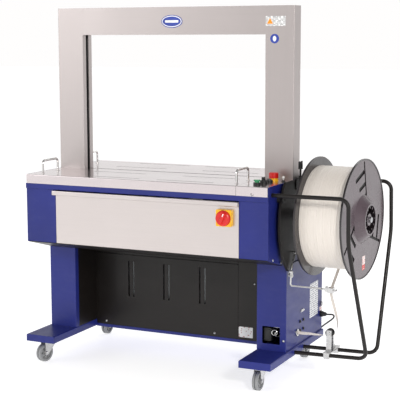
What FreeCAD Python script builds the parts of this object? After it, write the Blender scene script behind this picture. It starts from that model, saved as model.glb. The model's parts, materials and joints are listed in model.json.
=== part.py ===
import FreeCAD, Part
import math
import os

# Semi-automatic strapping machine: an arch over a two-part table, a housing on two legs with castors, and
# a strap reel on the right-hand end. Millimetres. X runs along the table towards the reel, Y towards the
# back, Z up. Each piece is drawn about the middle of the arch at floor level, and saved with the whole
# machine's footprint centred on the origin.

V = FreeCAD.Vector
ALONG = (1, 0, 0)
BACK = (0, 1, 0)
UP = (0, 0, 1)

# Overall
SHEET = 2.0
HALF_LENGTH = 550.0          # housing, end to middle
HALF_DEPTH = 310.0           # table and feet, edge to middle
TABLE_TOP = 825.0
TABLE_EDGE = 38.0
LEFT_END = -564.0            # outer face of the left foot
RIGHT_END = 876.0            # outer face of the rear guard tube
FRONT_END = -345.0           # face of the main-switch knob
BACK_END = 333.0             # rear of the rear castor wheels
CENTRE_X = (LEFT_END + RIGHT_END) / 2
CENTRE_Y = (FRONT_END + BACK_END) / 2

# Arch
OPENING_HALF = 425.0
OPENING_TOP = 1405.0
ARCH_TOP = 1519.0
ARCH_HALF_DEPTH = 37.0
POST_OUTER = 548.0
POST_FOOT = 700.0
ARCH_WALL = 3.0
STRAP_SLOT = 22.0

# Stand
FOOT_BOTTOM = 103.0
FOOT_TOP = 133.0
LEG_INNER = 428.0
LEG_OUTER = 556.0
FOOT_OUTER = 564.0
LEG_FRONT = -124.0
LEG_RETURN = 26.0
PANEL_Y = 57.0
PAN_BOTTOM = 100.0
PAN_TOP = 113.0

# Housing
FLOOR_TOP = 489.0
NOSE_Z = 538.0               # underside of the housing at its front
HOUSING_FRONT = -305.0
RAIL_BOTTOM = 765.0
TABLE_BOTTOM = TABLE_TOP - TABLE_EDGE
DOOR_LEFT = -406.0
DOOR_RIGHT = 426.0
DOOR_BOTTOM = 540.0
DOOR_TOP = 764.0
SWITCH_X = 368.5
SWITCH_Z = 697.0
SWITCH_DEPTH = 18.0
SWITCH_HALF = 33.0
SPLIT_X = 415.0              # seam between the table halves and the control plate

# Reel side
REEL_Z = 680.0
FLANGE_RADIUS = 240.0
FLANGE_THICKNESS = 6.0
POCKET_DEPTH = 4.8
REEL_LEFT = 641.0
REEL_RIGHT = 836.0
HUB_END = 868.0
REEL_YAW = 3.0               # the reel's axis leans this many degrees towards the front
WINDING_RADIUS = 205.0
CORE_RADIUS = 100.0
SHAFT_RADIUS = 12.0
PLATE_X = 566.0
PLATE_RADIUS = 247.0
PLATE_Z = 668.0
BUMPER = (-206.0, 767.0)      # the rubber bumper that passes through the back plate
FIT = 0.05                   # radial running clearance
GUARD_RADIUS = 8.0
ROLLER = (700.0, 0.0, 202.0)
ROLLER_RADIUS = 13.0
STRAP_WIDTH = 12.0
STRAP_THICKNESS = 0.9
EYE = (580.0, -138.0, 454.0)           # pivot of the dancer arm
ARM_CORNER = (579.0, -138.0, 413.0)
ARM_END = (668.0, -4.0, 382.0)
GUIDE = (702.0, 0.0, 379.0)
STRAP_LEAVES = (720.0, 143.3, 540.0)   # where the strap leaves the winding

# Castors
WHEEL_RADIUS = 39.0
WHEEL_WIDTH = 24.0
TRAIL = 28.0
KINGPIN = 6.0
AXLE = 4.0

# Mains cable
CABLE_RADIUS = 3.5
COIL_X = 255.0
COIL_Y = 466.0
COIL_RADIUS = 40.0

# Each castor: name, swivel axis, and how far it has turned about it.
CASTORS = (
    ("front_left", -512.0, -213.0, -15.0),
    ("front_right", 484.0, -213.0, 0.0),
    ("rear_left", -512.0, 266.0, 180.0),
    ("rear_right", 484.0, 266.0, 180.0),
)

FRONT_GUARD = [(546, -272, 791), (862, -284, 794), (862, -278, 620), (862, -18, 115), (560, -42, 114)]
REAR_GUARD = [(546, 262, 800), (868, 263, 801), (868, 275, 600), (868, 99, 110), (560, 64, 113)]
GUARD_BENDS = [35, 150, 35]

CABLE_ROUTE = [
    (582, 292, 203), (595, 292, 203), (609, 294, 204.5), (616, 299.5, 198), (612, 305, 187),
    (599, 313, 175), (573, 327, 155), (536, 348, 125), (498, 372, 81), (460, 396, 33),
    (416, 415, 4), (360, 427, 3.6), (314, 424, 3.6), (272, 422.5, 3.6),
]


# ---------------------------------------------------------------- helpers

def box(x0, x1, y0, y1, z0, z1):
    return Part.makeBox(x1 - x0, y1 - y0, z1 - z0, V(x0, y0, z0))


def rod(start, along, radius, length):
    return Part.makeCylinder(radius, length, V(*start), V(*along))


def cone(start, along, radius_0, radius_1, length):
    return Part.makeCone(radius_0, radius_1, length, V(*start), V(*along))


def ring(start, along, outer, inner, length):
    return rod(start, along, outer, length).cut(rod(start, along, inner, length))


def fused(shapes):
    return shapes[0].multiFuse(shapes[1:]).removeSplitter()


def without(shape, cutters):
    return shape.cut(Part.makeCompound(cutters))


def mirrored(shape):
    return shape.mirror(V(0, 0, 0), V(1, 0, 0))


def prism(points, along):
    """A straight prism on a closed outline."""
    outline = Part.makePolygon([V(*p) for p in points + points[:1]])
    return Part.Face(outline).extrude(V(*along))


def obround(x0, x1, y, width, z0, z1):
    """A slot along X with round ends."""
    r = width / 2
    ends = [rod((x, y, z0), UP, r, z1 - z0) for x in (x0 + r, x1 - r)]
    return fused([box(x0 + r, x1 - r, y - r, y + r, z0, z1)] + ends)


def soften(shape, radius, chosen):
    """Round the edges whose middle the test picks."""
    edges = [e for e in shape.Edges if chosen(e.CenterOfMass)]
    return shape.makeFillet(radius, edges)


def bent_wire(points, bends):
    """Straight runs joined by tangent arcs, with the radius at each inner point."""
    places = [V(*p) for p in points]
    edges = []
    start = places[0]
    for before, corner, after, radius in zip(places, places[1:], places[2:], bends):
        back = (before - corner).normalize()
        ahead = (after - corner).normalize()
        half = back.getAngle(ahead) / 2
        leave = corner + back * (radius / math.tan(half))
        arrive = corner + ahead * (radius / math.tan(half))
        inward = (back + ahead).normalize()
        middle = corner + inward * (radius / math.sin(half) - radius)
        edges.append(Part.makeLine(start, leave))
        edges.append(Part.Arc(leave, middle, arrive).toShape())
        start = arrive
    edges.append(Part.makeLine(start, places[-1]))
    return Part.Wire(edges)


def tube(points, bends, radius):
    """A round bar along a bent wire."""
    path = bent_wire(points, bends)
    along = V(*points[1]) - V(*points[0])
    circle = Part.Wire([Part.makeCircle(radius, V(*points[0]), along)])
    return path.makePipeShell([circle], True, False)


def cord_bends(points):
    """As large an arc at each inner point as its two runs allow."""
    places = [V(*p) for p in points]
    radii = []
    for before, corner, after in zip(places, places[1:], places[2:]):
        turn = (corner - before).getAngle(after - corner)
        shorter = min((corner - before).Length, (after - corner).Length)
        radii.append(0.45 * shorter / math.tan(turn / 2))
    return radii


def save(name, *solids):
    shape = solids[0] if len(solids) == 1 else Part.makeCompound(list(solids))
    placed = shape.copy()
    placed.translate(V(-CENTRE_X, -CENTRE_Y, 0))
    placed.exportStep("parts/" + name + ".step")


# ---------------------------------------------------------------- stand

def foot():
    """A box-section foot along Y, closed by a cap at each end."""
    wall = 3
    outer = box(LEG_INNER, FOOT_OUTER, -HALF_DEPTH + wall, HALF_DEPTH - wall, FOOT_BOTTOM, FOOT_TOP)
    outer = soften(outer, 4, lambda c: abs(c.y) < 1 and c.z > FOOT_BOTTOM)
    hollow = box(LEG_INNER + wall, FOOT_OUTER - wall, -HALF_DEPTH, HALF_DEPTH,
                 FOOT_BOTTOM + wall, FOOT_TOP - wall)
    caps = []
    for y in (-HALF_DEPTH, HALF_DEPTH - wall):
        cap = box(LEG_INNER, FOOT_OUTER, y, y + wall, FOOT_BOTTOM, FOOT_TOP)
        caps.append(soften(cap, 4, lambda c: abs(c.y - y - wall / 2) < 0.1 and c.z > FOOT_TOP - 1))
    return [outer.cut(hollow)] + caps


def leg(window):
    """A folded column, open towards the middle behind its front return."""
    top = FLOOR_TOP - SHEET
    outer = box(LEG_INNER, LEG_OUTER, LEG_FRONT, HALF_DEPTH, FOOT_TOP, top)
    outer = soften(outer, 3, lambda c: abs(c.z - (FOOT_TOP + top) / 2) < 1)
    cutters = [
        box(LEG_INNER + SHEET, LEG_OUTER - SHEET, LEG_FRONT + SHEET, HALF_DEPTH - SHEET, FOOT_TOP, top),
        box(LEG_INNER - 1, LEG_INNER + SHEET, LEG_FRONT + LEG_RETURN, HALF_DEPTH - SHEET, FOOT_TOP, top),
    ]
    if window:
        cutters.append(soften(
            box(453, 530, LEG_FRONT - 5, LEG_FRONT + 5, 161, 233), 5, lambda c: abs(c.y - LEG_FRONT) < 1))
        cutters.append(rod((LEG_OUTER - 5, 0, 187), ALONG, 9, 10))
    return without(outer, cutters)


def inner_panel():
    return box(LEG_INNER, LEG_INNER + SHEET, LEG_FRONT + LEG_RETURN, PANEL_Y, FOOT_TOP, FLOOR_TOP - SHEET)


def front_panel():
    """The recessed panel with three pairs of upright slots, and a narrow panel beside it."""
    seam = 268
    top = FLOOR_TOP - SHEET
    main = box(-LEG_INNER, seam - 0.5, PANEL_Y, PANEL_Y + SHEET, PAN_TOP, top)
    ledge = box(-LEG_INNER, seam - 0.5, PANEL_Y - 5, PANEL_Y, 436, 439)
    slots = []
    for middle in (-250, -75.5, 99):
        for x in (middle - 12, middle + 12):
            slots.append(upright_slot(x, 7, 251, 411, PANEL_Y))
    narrow = box(seam + 0.5, LEG_INNER, PANEL_Y, PANEL_Y + SHEET, PAN_TOP, top)
    return [without(main.fuse(ledge), slots), narrow]


def upright_slot(x, width, z0, z1, y):
    r = width / 2
    ends = [rod((x, y - 4, z), BACK, r, 8) for z in (z0 + r, z1 - r)]
    return fused([box(x - r, x + r, y - 4, y + 4, z0 + r, z1 - r)] + ends)


def rear_panels():
    """The lower panel between the legs and the upper one between the housing's sides, both with vents."""
    inside = HALF_DEPTH - SHEET
    lower = box(-LEG_INNER, LEG_INNER, inside, HALF_DEPTH, PAN_TOP, FLOOR_TOP - SHEET)
    upper = box(-HALF_LENGTH + SHEET, HALF_LENGTH - SHEET, inside, HALF_DEPTH, FLOOR_TOP, TABLE_BOTTOM)
    low_vents = [upright_slot(x, 7, 330, 430, inside) for x in range(-300, -120, 24)]
    high_vents = [upright_slot(x, 7, 600, 690, inside) for x in range(180, 360, 24)]
    return [without(lower, low_vents), without(upper, high_vents)]


def bottom_pan():
    tray = box(-LEG_INNER, LEG_INNER, PANEL_Y - 2, HALF_DEPTH, PAN_BOTTOM, PAN_TOP)
    inside = box(-LEG_INNER + SHEET, LEG_INNER - SHEET, PANEL_Y + SHEET, HALF_DEPTH - SHEET,
                 PAN_BOTTOM + SHEET, PAN_TOP)
    return tray.cut(inside)


# ---------------------------------------------------------------- castors

def castor_plate(x, y):
    plate = box(x - 38, x + 38, y - 32, y + 32, FOOT_BOTTOM - 4, FOOT_BOTTOM)
    plate = soften(plate, 8, lambda c: abs(c.z - FOOT_BOTTOM + 2) < 0.1)
    bolts = [
        rod((x + i * 29, y + j * 23, FOOT_BOTTOM - 9), UP, 5, 6) for i in (-1, 1) for j in (-1, 1)
    ]
    return fused([plate, rod((x, y, 87), UP, KINGPIN, 14)] + bolts)


def fork():
    """A pressed fork under its ball race, trailing along -Y, about its swivel axis."""
    gap = WHEEL_WIDTH / 2 + 1.5
    head = fused([
        cone((0, 0, 86), UP, 26, 23, 6),
        rod((0, 0, 92), UP, 23, 6),
    ])
    head = head.cut(rod((0, 0, 86.5), UP, KINGPIN + FIT, 20))
    crown = box(-gap - 2.5, gap + 2.5, -32, 22, 82, 86)
    outline = [(-36, 86), (22, 86), (20, 72), (-TRAIL + 9, 33), (-TRAIL - 9, 33)]
    side = prism([(gap, y, z) for y, z in outline], (2.5, 0, 0))
    side = fused([side, rod((gap, -TRAIL, WHEEL_RADIUS), ALONG, 10, 2.5)])
    nuts = [rod((x, -TRAIL, WHEEL_RADIUS), ALONG, 7, 4) for x in (gap + 2.5, -gap - 6.5)]
    axle = rod((-gap - 2.5, -TRAIL, WHEEL_RADIUS), ALONG, AXLE, 2 * gap + 5)
    return fused([head, crown, side, mirrored(side), axle] + nuts)


def wheel():
    """A wheel with two treads, a groove between them, and a dished web with round holes."""
    half = WHEEL_WIDTH / 2
    centre = (-half, -TRAIL, WHEEL_RADIUS)
    solid = rod(centre, ALONG, WHEEL_RADIUS, WHEEL_WIDTH)
    solid = solid.makeFillet(2.5, [e for e in solid.Edges if e.Length > 200])
    cutters = [
        ring((-2, -TRAIL, WHEEL_RADIUS), ALONG, WHEEL_RADIUS + 1, WHEEL_RADIUS - 5, 4),
        rod(centre, ALONG, AXLE + FIT, WHEEL_WIDTH),
    ]
    for x in (-half, half - 6):
        cutters.append(ring((x, -TRAIL, WHEEL_RADIUS), ALONG, 29, 12, 6))
    for i in range(6):
        a = math.radians(60 * i)
        y = -TRAIL + 20.5 * math.cos(a)
        cutters.append(rod((-half, y, WHEEL_RADIUS + 20.5 * math.sin(a)), ALONG, 5, WHEEL_WIDTH))
    return without(solid, cutters)


def turned(shape, x, y, angle):
    placed = shape.copy()
    placed.rotate(V(0, 0, 0), V(0, 0, 1), angle)
    placed.translate(V(x, y, 0))
    return placed


# ---------------------------------------------------------------- housing

def side_panel():
    """A flat side with a slanted lower front edge."""
    outline = [
        (HALF_LENGTH - SHEET, HOUSING_FRONT, NOSE_Z),
        (HALF_LENGTH - SHEET, LEG_FRONT - 1, FLOOR_TOP - SHEET),
        (HALF_LENGTH - SHEET, HALF_DEPTH, FLOOR_TOP - SHEET),
        (HALF_LENGTH - SHEET, HALF_DEPTH, TABLE_TOP),
        (HALF_LENGTH - SHEET, HOUSING_FRONT, TABLE_TOP),
    ]
    return prism(outline, (SHEET, 0, 0))


def housing_front():
    """The rail under the table's front edge and the corner panels beside the door."""
    length = 2 * HALF_LENGTH
    outer = box(-HALF_LENGTH, HALF_LENGTH, -HALF_DEPTH, -HALF_DEPTH + 22, RAIL_BOTTOM, TABLE_BOTTOM)
    outer = soften(outer, 4, lambda c: abs(c.x) < 1 and c.y < -HALF_DEPTH + 1 and c.z < RAIL_BOTTOM + 1)
    inside = box(-length, length, -HALF_DEPTH + SHEET, HALF_DEPTH, RAIL_BOTTOM - 1, TABLE_BOTTOM - SHEET)
    ends = [box(x, x + SHEET + 0.2, HOUSING_FRONT - 0.2, -HALF_DEPTH + 23, RAIL_BOTTOM, TABLE_BOTTOM)
            for x in (-HALF_LENGTH - 0.1, HALF_LENGTH - SHEET - 0.1)]
    rail = without(outer, [inside] + ends)
    left = corner_panel(-HALF_LENGTH + SHEET, DOOR_LEFT - 1.5, DOOR_LEFT - 1.5 - SHEET)
    right = corner_panel(DOOR_RIGHT + 1.5, HALF_LENGTH - SHEET, DOOR_RIGHT + 1.5)
    return [rail, left, right]


def corner_panel(x0, x1, return_x):
    """A flat panel with an inward return along the door opening."""
    face = box(x0, x1, HOUSING_FRONT, HOUSING_FRONT + SHEET, NOSE_Z + 2, TABLE_BOTTOM - SHEET - 1)
    fold = box(return_x, return_x + SHEET, HOUSING_FRONT, HOUSING_FRONT + 24, NOSE_Z + 8, RAIL_BOTTOM - 1)
    return face.fuse(fold).removeSplitter()


def housing_floor():
    """The black floor, with its front slanting up to the nose and a hole for the strap."""
    span = 2 * (HALF_LENGTH - SHEET)
    x = -HALF_LENGTH + SHEET
    under = [(x, HOUSING_FRONT + 4, NOSE_Z - SHEET), (x, LEG_FRONT - 1, FLOOR_TOP - SHEET),
             (x, HALF_DEPTH - SHEET, FLOOR_TOP - SHEET)]
    over = [(p[0], p[1], p[2] + SHEET) for p in reversed(under)]
    return prism(under + over, (span, 0, 0)).cut(box(-30, 30, 100, 130, 400, 500))


def front_door():
    """A stainless door face with side returns and a rolled lip along its top."""
    face = box(DOOR_LEFT, DOOR_RIGHT, HOUSING_FRONT, HOUSING_FRONT + SHEET, DOOR_BOTTOM, DOOR_TOP - 4)
    sides = [box(x, x + SHEET, HOUSING_FRONT, HOUSING_FRONT + 14, DOOR_BOTTOM + 12, DOOR_TOP - 4)
             for x in (DOOR_LEFT, DOOR_RIGHT - SHEET)]
    lip = box(-420, 425, HOUSING_FRONT - 9, HOUSING_FRONT, DOOR_TOP - 22, DOOR_TOP - 2)
    lip = soften(lip, 4, lambda c: abs(c.x) < 5 and c.y < HOUSING_FRONT - 8)
    lip = lip.cut(box(-418, 423, HOUSING_FRONT - 7, HOUSING_FRONT, DOOR_TOP - 24, DOOR_TOP - 5))
    hole = rod((SWITCH_X, HOUSING_FRONT - 1, SWITCH_Z), BACK, 9, 20)
    return without(fused([face, lip] + sides), [hole])


def switch_plate():
    """The main switch's square housing, with four screw heads in its corners."""
    front = HOUSING_FRONT - SWITCH_DEPTH
    plate = box(SWITCH_X - SWITCH_HALF, SWITCH_X + SWITCH_HALF, front, HOUSING_FRONT,
                SWITCH_Z - SWITCH_HALF, SWITCH_Z + SWITCH_HALF)
    plate = soften(plate, 5, lambda c: abs(c.y - HOUSING_FRONT + SWITCH_DEPTH / 2) < 0.1)
    plate = soften(plate, 2, lambda c: c.y < front + 0.1)
    corners = [rod((SWITCH_X + i * 28, front - 0.8, SWITCH_Z + j * 28), BACK, 2.4, 3)
               for i in (-1, 1) for j in (-1, 1)]
    bore = rod((SWITCH_X, front - 5, SWITCH_Z), BACK, 5 + FIT, 40)
    return fused([plate] + corners).cut(bore)


def switch_knob():
    """A round rotary knob with a raised grip bar, turning about Y."""
    base = HOUSING_FRONT - SWITCH_DEPTH - 0.9
    disc = cone((SWITCH_X, base, SWITCH_Z), (0, -1, 0), 31.5, 29, 9)
    dome = cone((SWITCH_X, base - 9, SWITCH_Z), (0, -1, 0), 29, 24, 4)
    grip = box(SWITCH_X - 7, SWITCH_X + 7, FRONT_END, base - 9, SWITCH_Z - 26, SWITCH_Z + 26)
    grip = soften(grip, 4.5, lambda c: abs(c.x - SWITCH_X) > 6.9 or abs(c.z - SWITCH_Z) > 25.9)
    grip.rotate(V(SWITCH_X, 0, SWITCH_Z), V(0, 1, 0), 25)
    stem = rod((SWITCH_X, base, SWITCH_Z), BACK, 5, 28)
    return fused([disc, dome, grip, stem])


# ---------------------------------------------------------------- table and controls

SLOT_ROWS_FRONT = (
    (-290, -32, -257), (44, 298, -257), (-345, -89, -100), (84, 342, -100),
)
SLOT_ROWS_REAR = (
    (-350, -94, 108), (76, 338, 108), (-312, -57, 262), (17, 280, 262),
)


def table_half(front):
    """A folded stainless tray with four obround slots and a notch round the left post."""
    near, far = (-HALF_DEPTH, -6) if front else (6, HALF_DEPTH)
    left = -HALF_LENGTH + SHEET + 1
    tray = box(left, SPLIT_X - 0.5, near, far, TABLE_BOTTOM + 0.5, TABLE_TOP)
    tray = soften(tray, 2.5, lambda c: c.z > TABLE_TOP - 1 and abs(abs(c.y) - HALF_DEPTH) < 1)
    inside = box(left + SHEET, SPLIT_X - 0.5 - SHEET, near + SHEET, far - SHEET,
                 TABLE_BOTTOM, TABLE_TOP - SHEET)
    inner_edge = far if front else near
    short = box(left - 1, SPLIT_X, inner_edge - 2.5, inner_edge + 2.5, TABLE_BOTTOM, TABLE_TOP - 10)
    notch = box(left - 1, -OPENING_HALF + 1, -ARCH_HALF_DEPTH - 1, ARCH_HALF_DEPTH + 1,
                TABLE_BOTTOM, TABLE_TOP + 1)
    rows = SLOT_ROWS_FRONT if front else SLOT_ROWS_REAR
    slots = [obround(x0, x1, y, 7, TABLE_TOP - 10, TABLE_TOP + 1) for x0, x1, y in rows]
    return without(tray, [inside, short, notch] + slots)


def handle(x, y0, y1):
    """A bent rod handle on two washers."""
    top = TABLE_TOP + 53
    points = [(x, y0, TABLE_TOP + 1.5), (x, y0, top), (x, y1, top), (x, y1, TABLE_TOP + 1.5)]
    washers = [rod((x, y, TABLE_TOP), UP, 8, 1.5) for y in (y0, y1)]
    return fused([tube(points, [14, 14], 4.8)] + washers)


BUTTONS = ((477, -245), (488, -205), (491, -153))
ESTOP = (487, -95)
TOGGLE = (536, -114)
COLLAR = 9.5                 # height of a bezel


def control_plate():
    """The fixed plate at the right of the table, with the control holes."""
    right = HALF_LENGTH - SHEET - 0.5
    tray = box(SPLIT_X + 0.5, right, -HALF_DEPTH, HALF_DEPTH, TABLE_BOTTOM, TABLE_TOP)
    tray = soften(tray, 2.5, lambda c: c.z > TABLE_TOP - 1 and abs(abs(c.y) - HALF_DEPTH) < 1)
    inside = box(SPLIT_X + 0.5 + SHEET, right - SHEET, -HALF_DEPTH + SHEET, HALF_DEPTH - SHEET,
                 TABLE_BOTTOM - 1, TABLE_TOP - SHEET)
    notch = box(OPENING_HALF - 1, right + 1, -ARCH_HALF_DEPTH - 1, ARCH_HALF_DEPTH + 1,
                TABLE_BOTTOM - 1, TABLE_TOP + 1)
    holes = [rod((x, y, TABLE_TOP - 5), UP, 11.2, 10) for x, y in BUTTONS]
    holes.append(rod((*ESTOP, TABLE_TOP - 5), UP, 11.2, 10))
    holes.append(rod((*TOGGLE, TABLE_TOP - 5), UP, 5.2, 10))
    return without(tray, [inside, notch] + holes)


def bezel(x, y):
    collar = ring((x, y, TABLE_TOP), UP, 14.5, 9 + FIT, COLLAR)
    rim = [e for e in collar.Edges if e.Length > 88 and e.CenterOfMass.z > TABLE_TOP + 4]
    collar = collar.makeFillet(1.2, rim)
    barrel = ring((x, y, TABLE_TOP - 30), UP, 11, 9 + FIT, 30)
    return collar.fuse(barrel).removeSplitter()


def toggle_nut():
    x, y = TOGGLE
    nut = fused([rod((x, y, TABLE_TOP), UP, 8, 2.5), rod((x, y, TABLE_TOP - 14), UP, 5, 21)])
    mouth = cone((x, y, TABLE_TOP + 3), UP, 3, 4.6, 4.1)
    return without(nut, [rod((x, y, TABLE_TOP - 4), UP, 3 + FIT, 8), mouth])


def toggle_lever():
    x, y = TOGGLE
    pivot = Part.makeSphere(3, V(x, y, TABLE_TOP + 1))
    lever = cone((x, y, TABLE_TOP + 1), UP, 1.6, 2.4, 14)
    return fused([pivot, lever, Part.makeSphere(5.8, V(x, y, TABLE_TOP + 17))])


def push_button(x, y, rise, cap):
    """A button whose cap, wider than its stem, stands clear of the bezel."""
    top = TABLE_TOP + COLLAR + rise
    button = rod((x, y, TABLE_TOP - 24), UP, 9, 24 + COLLAR + rise)
    if cap:
        button = button.fuse(rod((x, y, top - 6), UP, cap, 6)).removeSplitter()
    return button.makeFillet(2, [e for e in button.Edges if e.CenterOfMass.z > top - 0.1])


def selector_knob(x, y):
    base = TABLE_TOP + COLLAR
    stem = rod((x, y, TABLE_TOP - 24), UP, 9, 24 + COLLAR + 1)
    disc = cone((x, y, base + 0.4), UP, 13.5, 12, 4)
    grip = box(x - 4.5, x + 4.5, y - 12, y + 12, base + 1, base + 17)
    grip = soften(grip, 3, lambda c: abs(c.z - base - 9) < 2 or c.z > base + 16)
    return fused([stem, disc, grip])


def estop_body():
    """A collar with a narrower neck, which the mushroom head slides over."""
    x, y = ESTOP
    collar = fused([rod((x, y, TABLE_TOP), UP, 19.5, 6), rod((x, y, TABLE_TOP + 6), UP, 17, 5)])
    barrel = rod((x, y, TABLE_TOP - 30), UP, 11, 30)
    return fused([collar, barrel]).cut(rod((x, y, TABLE_TOP - 40), UP, 8 + FIT, 80))


def estop_button():
    """A mushroom head, hollow below, on its stem."""
    x, y = ESTOP
    stem = rod((x, y, TABLE_TOP - 28), UP, 8, 46)
    head = rod((x, y, TABLE_TOP + 11.2), UP, 19.5, 21.8)
    rim = [e for e in head.Edges if e.CenterOfMass.z > TABLE_TOP + 32 and e.Length > 100]
    head = head.makeFillet(4, rim).cut(rod((x, y, TABLE_TOP + 11), UP, 17.6, 5.2))
    return fused([stem, head])


# ---------------------------------------------------------------- arch

def post():
    """The right-hand post: a folded shell, and the inner plates on either side of the strap's slot."""
    w = ARCH_WALL
    inner = OPENING_HALF + w
    depth = ARCH_HALF_DEPTH - w
    outer = box(OPENING_HALF, POST_OUTER, -ARCH_HALF_DEPTH, ARCH_HALF_DEPTH, POST_FOOT, ARCH_TOP)
    outer = soften(outer, 2.5, lambda c: c.x > POST_OUTER - 1 and abs(c.y) > ARCH_HALF_DEPTH - 1)
    shell = outer.cut(box(OPENING_HALF - 1, POST_OUTER - w, -depth, depth, POST_FOOT - 1, ARCH_TOP - w))
    half = STRAP_SLOT / 2
    plates = [box(OPENING_HALF, inner, y, y + depth - half, POST_FOOT, OPENING_TOP + w)
              for y in (-depth, half)]
    foot_plate = box(OPENING_HALF, inner, -half, half, POST_FOOT, TABLE_BOTTOM - 8)
    return [shell, foot_plate] + plates


def arch_beam():
    outer = box(-OPENING_HALF, OPENING_HALF, -ARCH_HALF_DEPTH, ARCH_HALF_DEPTH, OPENING_TOP, ARCH_TOP)
    w = ARCH_WALL
    inside = box(-OPENING_HALF, OPENING_HALF, -ARCH_HALF_DEPTH + w, ARCH_HALF_DEPTH - w,
                 OPENING_TOP + w, ARCH_TOP - w)
    slot = box(-OPENING_HALF, OPENING_HALF, -STRAP_SLOT / 2, STRAP_SLOT / 2,
               OPENING_TOP - 1, OPENING_TOP + w)
    return without(outer, [inside, slot])


def track_bar(length, half, groove, deep, floor):
    """A grooved bar about the X axis, open upwards, as a floor strip between two side strips."""
    side = (half - groove) / 2
    middles = (-groove - side, groove + side)
    sides = [box(0, length, y - side, y + side, -floor, deep) for y in middles]
    return [box(0, length, -groove, groove, -floor, 0)] + sides


def strap_track():
    """The grooved guide bars behind the slots of the posts and the beam, and under the table's slot."""
    behind = OPENING_HALF + ARCH_WALL
    above = OPENING_TOP + ARCH_WALL
    half = STRAP_SLOT / 2 + 3
    rise = above + 18 - (TABLE_TOP - 13)
    solids = []
    for strip in track_bar(rise, half, 7, 8, 10):
        strip.rotate(V(0, 0, 0), V(0, 1, 0), -90)
        strip.translate(V(behind + 8, 0, TABLE_TOP - 13))
        solids += [strip, mirrored(strip)]
    for strip in track_bar(2 * behind, half, 7, 8, 10):
        strip.rotate(V(0, 0, 0), V(1, 0, 0), 180)
        strip.translate(V(-behind, 0, above + 8))
        solids.append(strip)
    for strip in track_bar(OPENING_HALF + SPLIT_X - 5, half, 7, 8, 23):
        strip.translate(V(-OPENING_HALF + 1, 0, 804))
        solids.append(strip)
    return solids


# ---------------------------------------------------------------- inside

def sealing_head():
    """The head under the middle of the lower track, on a bridge down to the housing floor."""
    block = box(-95, 95, -70, 70, 600, 770)
    anvil = box(-42, 42, -13, 13, 770, 781)
    cams = [rod((x, -90, 660), BACK, 34, 20) for x in (-50, 30)]
    rollers = [rod((x, -92, 725), BACK, 22, 22) for x in (-50, 10)]
    frame = [box(x, x + 12, -70, 70, FLOOR_TOP, 600) for x in (-95, 83)]
    return fused([block, anvil] + cams + rollers + frame)


def drive_motor():
    """A motor with cooling fins on a gearbox that stands on the housing floor."""
    gearbox = box(150, 240, -60, 60, FLOOR_TOP, 640)
    shell = rod((240, 0, 575), ALONG, 58, 165)
    fins = [ring((x, 0, 575), ALONG, 64, 57, 4) for x in range(250, 390, 10)]
    link = rod((107, 0, 600), ALONG, 14, 43)
    base = box(260, 380, -45, 45, FLOOR_TOP, 530)
    return fused([gearbox, shell, link, base] + fins)


def accumulator_box():
    """The open-topped strap store in the lower body."""
    outer = box(-320, 250, 90, 290, PAN_BOTTOM + SHEET, 470)
    return outer.cut(box(-317, 247, 93, 287, PAN_BOTTOM + SHEET + 3, 480))


# ---------------------------------------------------------------- strap supply

def back_plate():
    """A round plate with a rim, cut flat on top and notched below."""
    disc = rod((PLATE_X + 3, 0, PLATE_Z), ALONG, PLATE_RADIUS, 3)
    rim = ring((PLATE_X, 0, PLATE_Z), ALONG, PLATE_RADIUS, PLATE_RADIUS - 3, 9)
    whole = disc.fuse(rim)
    top = box(PLATE_X - 5, PLATE_X + 20, -300, 300, 832, 1000)
    x = PLATE_X - 5
    notch = prism([(x, -106, 474), (x, -57, 527), (x, 57, 527), (x, 106, 474)], (25, 0, 0))
    lower = box(x, x + 25, -300, 300, 380, 474)
    holes = [rod((x, 0, REEL_Z), ALONG, SHAFT_RADIUS + 3, 25), rod((x, *BUMPER), ALONG, 14, 25)]
    return without(whole, [top, notch, lower] + holes)


def reel_turned(shape):
    """The shape turned with the reel's axis, about the middle of the back plate."""
    turned_shape = shape.copy()
    turned_shape.rotate(V(PLATE_X + 3, 0, 0), V(0, 0, 1), -REEL_YAW)
    return turned_shape


def reel_shaft():
    """The fixed shaft in its socket, and the four standoffs that carry the back plate."""
    shaft = rod((HALF_LENGTH + 4, 0, REEL_Z), ALONG, SHAFT_RADIUS, HUB_END + 1 - HALF_LENGTH)
    shaft = shaft.makeChamfer(2, [e for e in shaft.Edges if e.CenterOfMass.x > HUB_END])
    sleeve_start = PLATE_X + 10
    sleeve = ring((sleeve_start, 0, REEL_Z), ALONG, 24, SHAFT_RADIUS, REEL_LEFT - 3 - sleeve_start)
    socket = rod((HALF_LENGTH, 0, REEL_Z), ALONG, 30, PLATE_X + 3 - HALF_LENGTH)
    standoffs = [rod((HALF_LENGTH, y, z), ALONG, 8, PLATE_X + 3 - HALF_LENGTH)
                 for y in (-150, 150) for z in (570, 770)]
    return [fused([reel_turned(shaft), reel_turned(sleeve), socket])] + standoffs


def pocket(x, start, end, width):
    """A straight pocket cutter from x outwards, between two (y, z) places about the reel's axis."""
    a, b = V(x, start[0], REEL_Z + start[1]), V(x, end[0], REEL_Z + end[1])
    side = (b - a).cross(V(1, 0, 0)).normalize() * (width / 2)
    return prism([tuple(c) for c in (a + side, b + side, b - side, a - side)], (8, 0, 0))


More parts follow.
